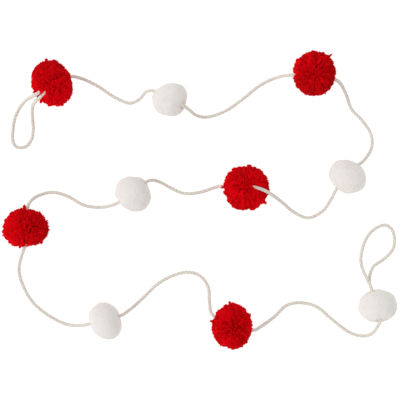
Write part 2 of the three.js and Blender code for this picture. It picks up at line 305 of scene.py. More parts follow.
KNOT_STEPS = 40  # points worked out from one knot to the next
CORD_STEP = 0.0008  # distance between two rings of the cord
knots = np.array([(*point, CORD_LIES)[:3] for run in CORD_RUNS.values() for point in run])
cord_curve = smooth_through(knots, KNOT_STEPS)
cord_curve[:, 2] = np.maximum(cord_curve[:, 2], CORD_LIES)
cord_run, cord_path = evenly_along(cord_curve, CORD_STEP)

# %% [markdown]
# The cord is laid from three plies of soft cotton, which show as slanting ridges. A bump map could fake them,
# but then the cord's edge would stay smooth. Here the section has three rounded lobes, and it turns as it
# goes along, so that a column of points follows one ply.

# %% Cord
CORD_PLIES = 3
CORD_LAY = 0.0135  # length in which a ply goes once round
CORD_AROUND = 18
CORD_PROUD = 1.14  # radius on a ply, as a share of the cord's own, because the plies stand a little proud
PLY_GROOVE = 0.2  # depth between two plies, as a share of the radius
CORD_UNEVEN = 0.03  # share by which hand-laid cord swells and thins
CORD_THINNED = 0.75  # mean thinning in those shares, so that no swelling passes the proud radius
CORD_SWELLS = (0.021, 0.0083, 0.0047)  # length of cord to a radian of each swelling wave
CORD_FIBRES = 3600
COTTON_FIBRE = {"places": [0.0, 0.6], "length": (0.0012, 0.0028), "lift": (0.1, 0.55)}
CORD_SEED = 20
UP = np.array([0.0, 0.0, 1.0])


def plied_rings(path, run):
    """Rings of a twisted cord along a path.

    In a ring the radius is full on each ply and falls by the groove's depth between two, with the absolute
    cosine of half the plies' angle. The ring swells along the run with the product of two sine waves and half
    of a third. It is set across the path, one axis level with the table, and is turned by a full turn in
    every lay length. Where it would go through the table it is pressed flat.
    """
    forward = unit(np.gradient(path, axis=0))
    side = unit(np.cross(forward, UP))
    above = np.cross(side, forward)
    share = np.arange(CORD_AROUND) / CORD_AROUND
    on_ply = np.abs(np.cos(np.pi * CORD_PLIES * share))
    section = 1 - PLY_GROOVE * (1 - on_ply)
    long, middling, short = (run / length for length in CORD_SWELLS)
    swell = np.sin(long) * np.sin(middling + 1) + np.sin(short) / 2
    radius = CORD_PROUD * CORD_DIAMETER / 2 * (1 - CORD_UNEVEN * (CORD_THINNED - swell / 2))
    angle = 2 * np.pi * (share[None, :] + run[:, None] / CORD_LAY)
    across = np.cos(angle)[..., None] * above[:, None] + np.sin(angle)[..., None] * side[:, None]
    rings = path[:, None] + (radius[:, None] * section)[..., None] * across
    rings[..., 2] = np.maximum(rings[..., 2], 0)
    return rings


def cord_fuzz(rings, path, rng):
    """Loose cotton on the cord: each fibre starts at a point of a ring drawn at random, and stands out from
    the cord's middle there."""
    ring = rng.integers(len(rings), size=CORD_FIBRES)
    skin = rings[ring, rng.integers(CORD_AROUND, size=CORD_FIBRES)]
    return loose_fibres(skin, unit(skin - path[ring]), COTTON_FIBRE, rng)


cord_rings = plied_rings(cord_path, cord_run)
cord_shells = [
    closed_tubes(cord_rings[None], cord_path[None, [0, -1]]),
    cord_fuzz(cord_rings, cord_path, np.random.default_rng(CORD_SEED)),
]
cord = add_piece("twisted_cord", cord_shells)

# %% [markdown]
# The cotton's threads turn with the plies, so the finish needs a map of the cord. Unwrapping would cut such a
# long tube anywhere. This UV map is worked out from the rings: one way goes around the cord and follows the
# plies, the other goes along it in lay lengths.

# %% Cord UV map
columns = (np.arange(CORD_AROUND)[:, None] + np.array([0, 1, 1, 0])) / CORD_AROUND
ring_pairs = np.stack([cord_run[:-1], cord_run[:-1], cord_run[1:], cord_run[1:]], axis=-1)
wall_uv = np.zeros((len(cord_run) - 1, CORD_AROUND, 4, 2), np.float32)
wall_uv[..., 0] = columns
wall_uv[..., 1] = ring_pairs[:, None] / CORD_LAY
cord_uv = np.zeros(2 * len(cord.data.loops), np.float32)  # caps and fibres stay at zero, on top of a ply
cord_uv[: wall_uv.size] = wall_uv.ravel()
cord.data.uv_layers.new(name="lay").uv.foreach_set("vector", cord_uv)

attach(cord, "root")
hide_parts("cord")
print("cord rings", len(cord_run))

# %% [markdown]
# A pompom is yarn wound over a former, tied round the middle and cut. Over a thousand yarn ends stand out
# from the tie in all directions and are trimmed to a ball. Particle hair would give strands too, but they
# would not reach the exported meshes as solid yarn, so each end is built as tubes.
#
# The trimmed balls are seldom round: seen from above, most are wider one way than the other. Each row gives
# the place of the middle, the widest and the narrowest size, and how far the widest is turned from +X in
# degrees.

# %% Pompom sizes
POMPOMS = {
    "pompom_1": {"x": -0.1785, "y": 0.141, "wide": 0.0595, "narrow": 0.0495, "turn": 117},
    "pompom_2": {"x": 0.138, "y": 0.1525, "wide": 0.0565, "narrow": 0.0535, "turn": 82},
    "pompom_3": {"x": 0.056, "y": 0.0145, "wide": 0.057, "narrow": 0.057, "turn": 0},
    "pompom_4": {"x": -0.2105, "y": -0.034, "wide": 0.0575, "narrow": 0.0495, "turn": 3},
    "pompom_5": {"x": 0.039, "y": -0.1525, "wide": 0.0575, "narrow": 0.0495, "turn": 86},
}
POMPOM_TALL = 0.056  # twice the reach straight up
POMPOM_MIDDLE = 0.026  # height of the tie, a little low because the ball settles on its underside

for name, pompom in POMPOMS.items():
    low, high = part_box(name)
    off = np.hypot((low.x + high.x) / 2 - pompom["x"], (low.y + high.y) / 2 - pompom["y"])
    print(name, "is", round(1000 * off, 1), "mm from the middle of its solid's box")

# %% [markdown]
# Yarn ends, tufts and fibres all point away from the middle of a ball. The corners of a UV sphere would crowd
# at its poles, so these directions follow a spiral with even spacing. Angles in degrees are easy to read off
# a picture, so places on a ball are given by a turn and a rise.

# %% Directions over a ball
GOLDEN_ANGLE = np.pi * (3 - np.sqrt(5))


def heading(turn, rise):
    """Unit vectors from a turn about +Z, measured from +X, and a rise from the table, both in degrees."""
    turn, rise = np.broadcast_arrays(np.radians(turn), np.radians(rise))
    return np.stack([np.cos(rise) * np.cos(turn), np.cos(rise) * np.sin(turn), np.sin(rise)], axis=-1)


def spread_headings(count, jitter, rng):
    """Unit vectors spread over a sphere.

    They follow a spiral that falls in even steps and turns by the golden angle at each, which spaces them
    evenly, and then each is shaken by a random jitter.
    """
    place = np.arange(count) + 0.5
    fall = np.degrees(np.arcsin(1 - 2 * place / count))
    spiral = heading(np.degrees(GOLDEN_ANGLE * place) + rng.uniform(0, 360), fall)
    return unit(spiral + rng.normal(0, jitter, (count, 3)))


def bells(headings, places, wide):
    """A bell round each place: one there, and about a third at an angle of wide degrees."""
    off = np.degrees(np.arccos(np.clip(headings @ places.T, -1, 1)))
    return np.exp(-((off / wide) ** 2))


def ellipsoid_reach(headings, wide, narrow, tall, turn):
    """Distance from the middle of an ellipsoid to its surface: one over the length of the heading, after its
    parts along the three axes are divided by half the size there."""
    axes = np.stack([heading(turn, 0), heading(turn + 90, 0), UP])
    return 1 / np.linalg.norm(headings @ axes.T / (np.array([wide, narrow, tall]) / 2), axis=-1)


# %% [markdown]
# The cord pushes the yarn apart where it comes out of a pompom or lies pressed into it, and the yarn also
# parts in dark hollows between its tufts. Both are made in the same way: strands near an opening swing away
# from it, and most of all those that point straight at it.

# %% Openings in the yarn
HOLLOWS = {  # turn from +X, rise from the table and half width that is left bare, in degrees
    "pompom_1": [
        (61, 56, 2.5), (15, 63, 2.5), (-11, 59, 2.5), (-54, 44, 2.5),
        (-135, -35, 9), (-135, -12, 10), (-135, 12, 10), (-134, 32, 8),
    ],
    "pompom_2": [
        (99, 66, 2.5), (150, 80, 2.5), (-84, 60, 2.5), (-115, 67, 2.5), (69, 67, 2.5), (-90, 4, 3),
        (176, 14, 5), (85, 72, 3), (-80, 74, 3), (-70, 63, 3),
    ],
    "pompom_3": [(121, 73, 2.5), (-165, 66, 2.5), (-30, 2, 5)],
    "pompom_4": [(20, 76, 3), (83, 59, 2.5), (-23, 66, 2.5), (16, 56, 2.5), (80, 4, 3), (-76, 2, 4)],
    "pompom_5": [(84, 69, 2.5), (34, 86, 2.5), (-134, 75, 2.5), (139, 66, 2.5), (-64, 75, 2.5)],
}
PARTINGS = {  # turns and rises that a long parting goes through, in degrees
    "pompom_1": [(-137, 35), (-150, 64), (178, 75), (112, 48)],
    "pompom_2": [(88, 35), (88, 60), (-100, 63), (-93, 5)],
    "pompom_3": [(90, 80), (121, 73), (-165, 66)],
    "pompom_4": [(88, 10), (91, 40), (139, 79), (-71, 71), (-85, 40), (-80, 5)],
    "pompom_5": [(84, 69), (-40, 84), (-64, 65)],
}
PARTING_BARE = {  # half width that is left bare along a parting, in degrees
    "pompom_1": 1.2,
    "pompom_2": 1.8,
    "pompom_3": 1.2,
    "pompom_4": 2.0,
    "pompom_5": 1.2,
}
PARTING_STEPS = 10  # places along each stretch of a parting
HOLLOW_SWING = 10  # degrees beyond its bare width within which yarn swings away from a hollow
CORD_STRIDE = 3  # one point of the cord's path in three makes an opening
CORD_FREE = 1.06  # share of the reach beyond which the cord parts no yarn
CORD_SINKS = 0.8  # share of the reach where the yarn closes over the cord
CORD_SINKS_EARLY = {"pompom_3": 0.84}  # the same, where the yarn closes sooner
YARN_ROOM = 0.0008  # left between the cord and the yarn's middle lines
CORD_SWING = 2.6  # times the bare angle within which yarn swings away from the cord
PARTING_ROUNDS = 2  # so that yarn pushed from one opening into another leaves that one too


def cord_openings(middle, size, sinks):
    """Headings from a pompom's middle to the cord, where it is near the surface, and the half angle of each:
    its sine is the cord's radius with the yarn's room, over the distance from the middle."""
    out = cord_path[::CORD_STRIDE] - middle
    distance = np.linalg.norm(out, axis=1)
    share = distance / ellipsoid_reach(unit(out), **size)
    near = (share > sinks) & (share < CORD_FREE)
    return unit(out[near]), np.arcsin((CORD_DIAMETER / 2 + YARN_ROOM) / distance[near])


def along_parting(rows):
    """Headings along a parting: even steps on the straight line from each to the next, made unit vectors."""
    corners = heading(*np.array(rows, float).T)
    share = np.linspace(0, 1, PARTING_STEPS)[:, None, None]
    return unit((1 - share) * corners[:-1] + share * corners[1:]).reshape(-1, 3)


def yarn_openings(name, middle, size, parting):
    """Headings of all the openings of a pompom, the half angle that each leaves bare, and the angle within
    which yarn swings away from it: some degrees more, or for the cord some times as much."""
    turn, rise, bare = np.array(HOLLOWS[name], float).T
    holes, hole_bare = cord_openings(middle, size, CORD_SINKS_EARLY.get(name, CORD_SINKS))
    openings = np.concatenate([heading(turn, rise), parting, holes])
    bare = np.append(bare, np.full(len(parting), PARTING_BARE[name]))
    clear = np.concatenate([np.radians(bare), hole_bare])
    swing = np.concatenate([np.radians(bare + HOLLOW_SWING), CORD_SWING * hole_bare])
    return openings, clear, swing


def parted(headings, openings, clear, swing):
    """Headings moved away from their nearest opening.

    An angle a from the opening that is less than swing becomes clear + a * (1 - clear / swing), so that it
    runs from clear up to swing, and wider angles stay as they are.
    """
    angles = np.arccos(np.clip(headings @ openings.T, -1, 1))
    nearest = np.argmin(angles / swing, axis=1)
    angle = np.take_along_axis(angles, nearest[:, None], axis=1)
    hole, bare, edge = openings[nearest], clear[nearest, None], swing[nearest, None]
    away = unit(headings - np.cos(angle) * hole)
    moved = np.where(angle < edge, bare + angle * (1 - bare / edge), angle)
    return np.cos(moved) * hole + np.sin(moved) * away


# %% [markdown]
# One yarn end is three plies. They start close together, lie twisted round each other, and splay where they
# were cut. The ends also lean together into tufts, and droop away from a crown on top. Rounder strands would
# cost too much: every ply is a tube of three rings with four sides and a blunt end, and a whole pompom is
# still some hundred and twenty thousand triangles.

# %% Yarn ends
YARN_ENDS = 1600
ROOT_JITTER = 0.03  # how far the ends are shaken off their even spacing, and below it the tufts
TUFTS = 150
TUFT_JITTER = 0.05
YARN_PLIES = 3
PLY_AROUND = 4
PLY_RADIUS = 0.00105
PLY_RANGE = (0.8, 1.2)  # thinnest and thickest ply, as shares of that radius
PLY_SHAPE = np.array([0.6, 1.0, 0.72])  # radius of each ring, as a share
PLY_PLACES = np.array([0.0, 0.6, 0.95])  # place of each ring from the root to the cut end
PLY_ROOT = 0.55  # where a ply starts, as a share of the reach
PLY_SWING = 1.5  # power of the place by which a ply swings from its root's heading to its tip's
PLY_TWIST = 1.8  # radians that the plies turn about each other
SPLAY = np.array([0.0004, 0.0008, 0.0010])  # offset of a ply from its yarn's middle at each ring
SPLAY_RANGE = (0.6, 1.4)  # least and most splayed ply, as shares of that offset
TUFT_PULL = 0.42  # how far an end leans to the middle of its tuft, sideways
TUFT_LONG = 0.3  # how much a distance counts along a tuft, which runs down from the crown
CROWNS = {  # turn and rise of the place on top that the yarn falls away from
    "pompom_1": (178, 75),
    "pompom_2": (-120, 87),
    "pompom_3": (119, 76),
    "pompom_4": (20, 76),
    "pompom_5": (53, 81),
}
DROOP = 7  # degrees that an end leans away from the crown
TRIM = {"mean": 0.955, "tuft": 0.026, "end": 0.010, "ply": 0.008}  # trimmed lengths and how they differ
CRIMP = 0.0005  # sideways wander of a ply


def drooped(headings, crown):
    """Headings turned away from the crown. An angle a from it grows by DROOP times sin a, and by less beyond
    90 degrees, down to nothing at 135."""
    angle = np.arccos(np.clip(headings @ crown, -1, 1))[:, None]
    away = unit(headings - np.cos(angle) * crown)
    fade = np.clip(3 - angle / (np.pi / 4), 0, 1)
    angle += np.radians(DROOP) * np.sin(angle) * fade
    return np.sin(angle) * away + np.cos(angle) * crown


def into_tufts(headings, tufts, crown):
    """Headings pulled to the nearest tuft, and that tuft's number.

    The way from a heading to a tuft is parted into what runs towards the crown and what runs sideways. The
    first counts less, so that a tuft is long and narrow and its ends lean together sideways.
    """
    way = tufts - headings[:, None]
    to_crown = unit(crown - (headings @ crown)[:, None] * headings)[:, None]
    way -= (1 - TUFT_LONG) * (way * to_crown).sum(axis=-1, keepdims=True) * to_crown
    nearest = np.argmin(np.linalg.norm(way, axis=-1), axis=1)
    return unit(headings + TUFT_PULL * way[np.arange(len(headings)), nearest]), nearest


def yarn_ends(middle, roots, tips, reach, rng):
    """Rings and end points of the plies that splay from yarn ends.

    A point at place t of a ply lies on the heading that swings from the root's to the tip's with a power of
    t, at a distance that grows evenly from PLY_ROOT of the reach to all of it. It is set off sideways in a
    circle that turns with t and widens, and wanders a little.
    """
    ends = len(roots)
    places = np.append(PLY_PLACES, 1.0)
    swing = places[:, None] ** PLY_SWING
    lines = unit(roots[:, None] + swing * (tips - roots)[:, None])
    first, second = frames_across(tips, rng)
    ply_turn = 2 * np.pi * np.arange(YARN_PLIES) / YARN_PLIES + rng.uniform(0, 2 * np.pi, (ends, 1))
    turn = ply_turn[:, :, None] + PLY_TWIST * places
    splay = np.append(SPLAY, SPLAY[-1]) * rng.uniform(*SPLAY_RANGE, (ends, YARN_PLIES, 1))
    aside = splay[..., None] * (
        np.cos(turn)[..., None] * first[:, None, None] + np.sin(turn)[..., None] * second[:, None, None]
    )
    wander = CRIMP * places[:, None] * rng.normal(size=(ends, YARN_PLIES, len(places), 3))
    trim = 1 + rng.normal(0, TRIM["ply"], (ends, YARN_PLIES, 1))
    distance = (PLY_ROOT + (1 - PLY_ROOT) * places) * reach[:, None, None] * trim
    line = middle + distance[..., None] * lines[:, None] + aside + wander
    line = line.reshape(-1, len(places), 3)
    across, over = frames_across(np.repeat(tips, YARN_PLIES, axis=0), rng)
    angle = 2 * np.pi * np.arange(PLY_AROUND) / PLY_AROUND
    circle = np.cos(angle)[:, None] * across[:, None] + np.sin(angle)[:, None] * over[:, None]
    width = PLY_RADIUS * rng.uniform(*PLY_RANGE, (len(line), 1, 1, 1)) * PLY_SHAPE[:, None, None]
    rings = line[:, :-1, None] + width * circle[:, None]
    return rings, line[:, [0, -1]]


# %% [markdown]
# A pompom is trimmed by hand. The scissors cut some places shorter, and missed a few ends, which stand out of
# the outline. The ball could be pressed into shape afterwards, but that would bend its strands, so every end
# gets its length before it is built.

# %% Trimmed outline
STRAYS = {  # turn, rise and how far past the reach, as a share
    "pompom_1": [(-151, 20, 0.06), (-120, 14, 0.10), (-128, 52, 0.03), (103, 14, 0.05)],
    "pompom_2": [(94, 4, 0.05), (49, 6, 0.12), (-94, 8, 0.05)],
    "pompom_3": [(177, 6, 0.09), (-38, 10, 0.10)],
    "pompom_4": [
        (91, 12, 0.28), (90, 10, 0.24), (93, 10, 0.18), (46, 10, 0.06), (17, 8, 0.04), (-3, 4, 0.04),
        (-162, 6, 0.03),
    ],
    "pompom_5": [(165, 8, 0.13), (97, 4, 0.07)],
}
TRIMMED = {  # turn from +X in degrees, and how much shorter the yarn is cut there, or longer if negative
    "pompom_1": [(-8, 0.0010), (129, 0.0022), (165, -0.0010), (272, 0.0010), (300, -0.0016)],
    "pompom_2": [
        (25, 0.0011), (46, -0.0010), (84, 0.0022), (120, 0.0008), (137, -0.0010), (195, 0.0010),
        (255, -0.0012), (285, -0.0010),
    ],
    "pompom_3": [
        (28, 0.0010), (50, -0.0008), (90, 0.0014), (120, 0.0008), (135, -0.0012), (204, 0.0030),
        (233, -0.0022), (270, 0.0014),
    ],
    "pompom_4": [
        (3, 0.0012), (40, 0.0022), (106, -0.0020), (145, 0.0010), (166, 0.0026), (275, 0.0030),
        (288, 0.0046),
    ],
    "pompom_5": [
        (60, 0.0012), (88, -0.0018), (107, 0.0014), (135, 0.0012), (152, -0.0016), (185, -0.0008),
        (248, 0.0008), (338, 0.0010),
    ],
}
TRIMMED_WIDE = 14  # degrees from the middle of a trimmed place to where a third of the cut is left
PARTING_DEEP = {  # how much shorter the yarn is along the long parting
    "pompom_1": 0.001,
    "pompom_2": 0.002,
    "pompom_3": 0.001,
    "pompom_4": 0.003,
    "pompom_5": 0.001,
}
LEAST_FALL = 1e-6  # stands for the fall of an end that is level or rises


def resting(middle, tips, reach):
    """Reach cut short where an end would go through the table: at most the middle's height, less a ply's
    radius, over the fall."""
    fall = np.maximum(-tips[:, 2], LEAST_FALL)
    return np.minimum(reach, (middle[2] - PLY_RADIUS) / fall)


def cut_short(headings, name, parting):
    """How much shorter the yarn is cut: a bell for each trimmed place, and one along the parting."""
    turn, short = np.array(TRIMMED[name], float).T
    cut = bells(headings, heading(turn, 0), TRIMMED_WIDE) @ short
    return cut + PARTING_DEEP[name] * bells(headings, parting, TRIMMED_WIDE).max(axis=-1)


# %% [markdown]
# Under its cut ends the yarn is packed so tightly that no light comes through. More strands would do it at a
# great cost of triangles. Instead a red core lies under the outer part of the strands. It follows the trimmed
# outline, and sinks where the yarn parts.

# %% Core of packed yarn
CORE_SHARE = 0.83  # share of the reach that the core fills
CORE_SUNK = 0.22  # how much less of the reach it fills under an opening
CORE_SUNK_WIDE = 12  # degrees from an opening to where a third of that is left
CORE_AROUND = 48
CORE_DOWN = 28


def ball_headings(around, down):
    """Unit vectors in rings from just above the lowest point to just below the highest, and both ends."""
    rise = np.linspace(-90, 90, down + 1)[1:-1]
    turn = np.arange(around) * 360 / around
    return heading(turn[None, :], rise[:, None]), np.stack([-UP, UP])


def packed_core(name, middle, size, openings, parting):
    """Closed skin of the core. It fills a share of the reach, less a bell round the nearest opening, and then
    less what the scissors took."""
    skin = []
    for headings in ball_headings(CORE_AROUND, CORE_DOWN):
        share = CORE_SHARE - CORE_SUNK * bells(headings, openings, CORE_SUNK_WIDE).max(axis=-1)
        reach = share * ellipsoid_reach(headings, **size) - cut_short(headings, name, parting)
        skin.append(middle + reach[..., None] * headings[None])
    return closed_tubes(*skin)


# %% [markdown]
# Each pompom has its own tone of red, and most are painted brighter on one side, which is painted light. Wool
# takes dye unevenly, so tufts and plies differ as well. A material for each would repeat itself, so one red
# serves them all and the points carry the tone of their ply.

# %% Tones of the yarn
DYE_AND_PAINTED_LIGHT = {  # tone from dull to bright, turn of the side painted brighter, and how much painted light it gets
    "pompom_1": {"tone": 0.82, "side": -105, "painted_light": 0.35},
    "pompom_2": {"tone": 0.40, "side": 150, "painted_light": 0.22},
    "pompom_3": {"tone": 0.73, "side": 0, "painted_light": 0.12},
    "pompom_4": {"tone": 0.79, "side": -150, "painted_light": 0.40},
    "pompom_5": {"tone": 0.69, "side": 0, "painted_light": 0.0},
}
DYE_UNEVEN = 0.08  # how much the tone of plies differs
TUFT_UNEVEN = 0.7  # how much the tone of tufts differs


def ply_tones(name, tips, tuft, rng):
    """Tone of each ply, from 0 to 1: the pompom's own, plus painted light by the cosine of the angle to the
    side that is painted brighter, and a random part for each ply and each tuft. The strays come last and
    belong to no tuft."""
    dye_and_light = DYE_AND_PAINTED_LIGHT[name]
    # painted light: plies that point to the pompom's set side get a brighter tone
    tones = dye_and_light["tone"] + dye_and_light["painted_light"] * np.repeat(tips @ heading(dye_and_light["side"], 0), YARN_PLIES)
    tones += DYE_UNEVEN * rng.uniform(-0.5, 0.5, len(tones))
    of_tufts = rng.uniform(-0.5, 0.5, TUFTS)[tuft]
    of_ends = np.append(of_tufts, np.zeros(len(tips) - len(tuft)))
    tones += TUFT_UNEVEN * np.repeat(of_ends, YARN_PLIES)
    return np.clip(tones, 0, 1)


# %% [markdown]
# Now a pompom comes together in a maker's order: the ends are spread, gathered into tufts and parted, the
# missed ends are added, and all are trimmed. Two attributes go with the mesh, the place along a ply and its
# tone.

# %% Pompoms
YARN_SEED = 70


def add_pompom(name, seed):
    """A pompom piece: yarn ends round a core of packed yarn."""
    rng = np.random.default_rng(seed)
    pompom = POMPOMS[name]
    size = {"wide": pompom["wide"], "narrow": pompom["narrow"], "tall": POMPOM_TALL, "turn": pompom["turn"]}
    middle = np.array([pompom["x"], pompom["y"], POMPOM_MIDDLE])
    crown = heading(*CROWNS[name])
    parting = along_parting(PARTINGS[name])
    openings, clear, swing = yarn_openings(name, middle, size, parting)

    roots = spread_headings(YARN_ENDS, ROOT_JITTER, rng)
    tufts = spread_headings(TUFTS, TUFT_JITTER, rng)
    tips, tuft = into_tufts(roots, tufts, crown)
    tips = drooped(tips, crown)
    trim = TRIM["mean"] + rng.normal(0, TRIM["tuft"], TUFTS)[tuft] + rng.normal(0, TRIM["end"], YARN_ENDS)
    for _ in range(PARTING_ROUNDS):
        tips = parted(tips, openings, clear, swing)

    turn, rise, past = np.array(STRAYS[name], float).T
    strays = heading(turn, rise)
    roots = np.concatenate([roots, strays])
    tips = np.concatenate([tips, strays])
    trim = np.concatenate([trim, 1 + past])
    reach = resting(middle, tips, trim * ellipsoid_reach(tips, **size) - cut_short(tips, name, parting))

    rings, ends = yarn_ends(middle, roots, tips, reach, rng)
    yarn = closed_tubes(rings, ends)
    yarn[0][:, 2] = np.maximum(yarn[0][:, 2], 0)
    core = packed_core(name, middle, size, openings, parting)

    places = np.tile(np.append(PLY_PLACES[:-1], 1.0), (len(rings), 1))
    # the tones carry the painted light of each pompom's brighter side
    tones = np.repeat(ply_tones(name, tips, tuft, rng)[:, None], len(PLY_PLACES), axis=1)
    on_core = np.zeros(len(core[0]))
    depth = np.concatenate([along_tubes(places, PLY_AROUND), on_core])
    tone = np.concatenate([along_tubes(tones, PLY_AROUND), on_core])
    piece = add_piece(f"yarn_{name}", [yarn, core], depth=depth, tone=tone)
    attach(piece, "root")
    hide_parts(name)
    return piece


pompoms = [add_pompom(name, YARN_SEED + i) for i, name in enumerate(POMPOMS)]

# %% [markdown]
# A felted ball is wool rolled wet between the hands until it shrinks into a firm ball. It is never quite
# round: it keeps low lumps and pressed sides, and its skin is matted fibre. It could be sculpted, but waves
# and bells hold the shape in a few numbers. The same lumps as in the solid come first, then finer ones that
# are sums of waves. Where the needle drew the cord through, the felt is pulled in to a dimple.

# %% Felted ball sizes
FELT_BALLS = {
    "felt_ball_1": {"x": -0.036, "y": 0.121, "wide": 0.0435, "narrow": 0.0415, "turn": 25},
    "felt_ball_2": {"x": 0.1785, "y": 0.0285, "wide": 0.047, "narrow": 0.039, "turn": 150},
    "felt_ball_3": {"x": -0.0805, "y": 0.008, "wide": 0.0455, "narrow": 0.0425, "turn": 131},
    "felt_ball_4": {"x": -0.114, "y": -0.1465, "wide": 0.046, "narrow": 0.039, "turn": 118},
    "felt_ball_5": {"x": 0.215, "y": -0.1285, "wide": 0.0465, "narrow": 0.0405, "turn": 8},
}
PRESSED = {  # turn from +X in degrees, and depth
    "felt_ball_1": [(105, 0.0015), (255, 0.002), (345, 0.002)],
    "felt_ball_2": [(200, 0.0005)],
    "felt_ball_3": [(15, 0.002), (90, 0.002), (240, 0.0005)],
    "felt_ball_4": [(10, 0.002)],
    "felt_ball_5": [(285, 0.001)],
}
PRESSED_WIDE = 25  # degrees from the middle of a pressed place to where it is a third as deep
FULLER = {  # turn from +X in degrees, and height of a small swelling, or of a hollow if negative
    "felt_ball_1": [(48, 0.0011), (104, 0.0006), (160, 0.0014), (315, -0.0006)],
    "felt_ball_2": [(105, -0.0006), (178, 0.0006), (270, -0.0005)],
    "felt_ball_3": [(105, 0.0006), (135, 0.0005), (188, 0.0006), (298, 0.0008)],
    "felt_ball_4": [(162, 0.0012), (185, 0.0006), (338, -0.0008)],
    "felt_ball_5": [(45, 0.0009), (118, 0.0010), (190, 0.0005), (322, -0.0005)],
}
FULLER_WIDE = 16  # degrees from the middle of a swelling to where it is a third as high
HOLE_SHADE_AND_DIRT = {  # how much painted shade and rubbed dirt darken the felt at each of its holes, in the cord's order
    "felt_ball_1": (0.2, 1.0),
    "felt_ball_2": (0.3, 0.2),
    "felt_ball_3": (0.8, 0.2),
    "felt_ball_4": (0.2, 0.8),
    "felt_ball_5": (0.6, 0.0, 0.0),
}
FLAT_SPOT = np.pi / 14  # angle from straight down to the edge of the flat spot
FELT_SEED = 40
FELT_LUMPS = 0.007  # height of the solid's own lumps, as a share of the radius
FELT_WAVES = np.array([2.6, 3.1, 2.4])  # radians of those lumps to a radius, along each axis
ROLLED = {"waves": 16, "pace": 8.0, "share": 0.0045}  # uneven rolling, about 17 mm from crest to crest
MATTED = {"waves": 40, "pace": 42.0, "share": 0.0013}  # matted fibre, about 3 mm from crest to crest
DIMPLE_DEEP = 0.0022
DIMPLE_WIDE = 0.0046  # distance from a hole to where its dimple is a third as deep
HOLE_SHADE_WIDE = 0.0042  # distance from a hole to where the painted shade and dirt are a third as strong


def waves(headings, rng, kind):
    """A sum of sine waves through a sphere, each in its own random direction with its own start. The pace is
    in radians to a radius."""
    directions = kind["pace"] * unit(rng.normal(size=(kind["waves"], 3)))
    starts = rng.uniform(0, 2 * np.pi, kind["waves"])
    return kind["share"] * np.sin(headings @ directions.T + starts).sum(axis=-1)


class FeltedBall:
    """The skin of one felted ball, as a function from headings to points."""

    def __init__(self, name, index):
        ball = FELT_BALLS[name]
        self.index = index
        self.axes = np.stack([heading(ball["turn"], 0), heading(ball["turn"] + 90, 0), UP])
        self.half = np.array([ball["wide"], ball["narrow"], (ball["wide"] + ball["narrow"]) / 2]) / 2
        self.middle = np.array([ball["x"], ball["y"], self.half[2] * np.cos(FLAT_SPOT)])
        self.seed = FELT_SEED + index
        turn, self.pressed_deep = np.array(PRESSED[name]).T
        self.pressed = heading(turn, 0)
        turn, self.fuller_high = np.array(FULLER[name]).T
        self.fuller = heading(turn, 0)
        self.rubbed_most = np.array(HOLE_SHADE_AND_DIRT[name])
        inside = np.linalg.norm((cord_path - self.middle) @ self.axes.T / self.half, axis=1) < 1
        self.dimples = cord_path[1:][np.diff(inside)]

    def skin(self, headings):
        """Points of the skin: the unit heading is made lumpy, stretched to the ball's three half sizes and
        turned. Each pressed place and each dimple then takes a bell of its depth off the distance from the
        middle, and each fuller place adds one. Points under the table are pressed up to it."""
        rng = np.random.default_rng(self.seed)  # a new one each time, so that the waves stay the same
        local = headings @ self.axes.T
        x, y, z = np.moveaxis(FELT_WAVES * local, -1, 0)
        lumps = FELT_LUMPS * (np.sin(x + 2 * self.index) + np.sin(y - self.index) * np.cos(z))
        lumps += waves(local, rng, ROLLED) + waves(local, rng, MATTED)
        out = ((1 + lumps)[..., None] * local * self.half) @ self.axes
        gap = np.linalg.norm((self.middle + out)[..., None, :] - self.dimples, axis=-1)
        pulled = DIMPLE_DEEP * np.exp(-((gap / DIMPLE_WIDE) ** 2)).sum(axis=-1)
        pulled += bells(headings, self.pressed, PRESSED_WIDE) @ self.pressed_deep
        pulled -= bells(headings, self.fuller, FULLER_WIDE) @ self.fuller_high
        points = self.middle + out - pulled[..., None] * headings
        points[..., 2] = np.maximum(points[..., 2], 0)
        return points

    def rubbed(self, points):
        """How much painted shade and rubbed dirt darken points round the holes: the hole's own share times a
        bell of the distance to it.
        """
        gap = np.linalg.norm(points[:, None] - self.dimples, axis=-1)
        return (self.rubbed_most * np.exp(-((gap / HOLE_SHADE_WIDE) ** 2))).max(axis=1)


felted = [FeltedBall(name, i) for i, name in enumerate(FELT_BALLS)]
print("dimples:", [len(ball.dimples) for ball in felted])

# %% [markdown]
# The skin is one closed grid of rings, and loose wool stands on it. A subdivided cube would have faces of one
# size, but rings from pole to pole can be closed by the helper that closes all the other tubes.

# %% Felted balls
FELT_AROUND = 96
FELT_DOWN = 64
FELT_FIBRES = 900
FELT_JITTER = 0.05  # how far the fibres are shaken off their even spacing
WOOL_FIBRE = {"places": [0.0, 0.35, 0.7], "length": (0.0012, 0.0030), "lift": (0.1, 0.75)}
FELT_UNDERSIDE = -0.9  # a heading that falls by more faces the table, and has no fuzz


def felt_fuzz(ball, rng):
    """Loose wool, spread evenly over the ball but for its underside."""
    out = spread_headings(FELT_FIBRES, FELT_JITTER, rng)
    out = out[out[:, 2] > FELT_UNDERSIDE]
    return loose_fibres(ball.skin(out), out, WOOL_FIBRE, rng)


def add_felted_ball(name, ball):
    """A felted ball piece: its closed skin and its fuzz."""
    rings, ends = ball_headings(FELT_AROUND, FELT_DOWN)
    skin = closed_tubes(ball.skin(rings)[None], ball.skin(ends)[None])
    fibres = felt_fuzz(ball, np.random.default_rng(ball.seed))
    # how much painted shade and rubbed dirt each point gets round the cord's holes
    rubbed = ball.rubbed(np.concatenate([skin[0], fibres[0]]))
    piece = add_piece(f"skin_{name}", [skin, fibres], rubbed=rubbed)
    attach(piece, "root")
    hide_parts(name)
    return piece


felt_pieces = [add_felted_ball(name, ball) for name, ball in zip(FELT_BALLS, felted)]

# %% [markdown]
# A finish is a small graph of nodes. Written out node by node it hides its own formula, so one class wraps a
# socket and lets it stand in sums and products, and another holds the material and adds any other node.

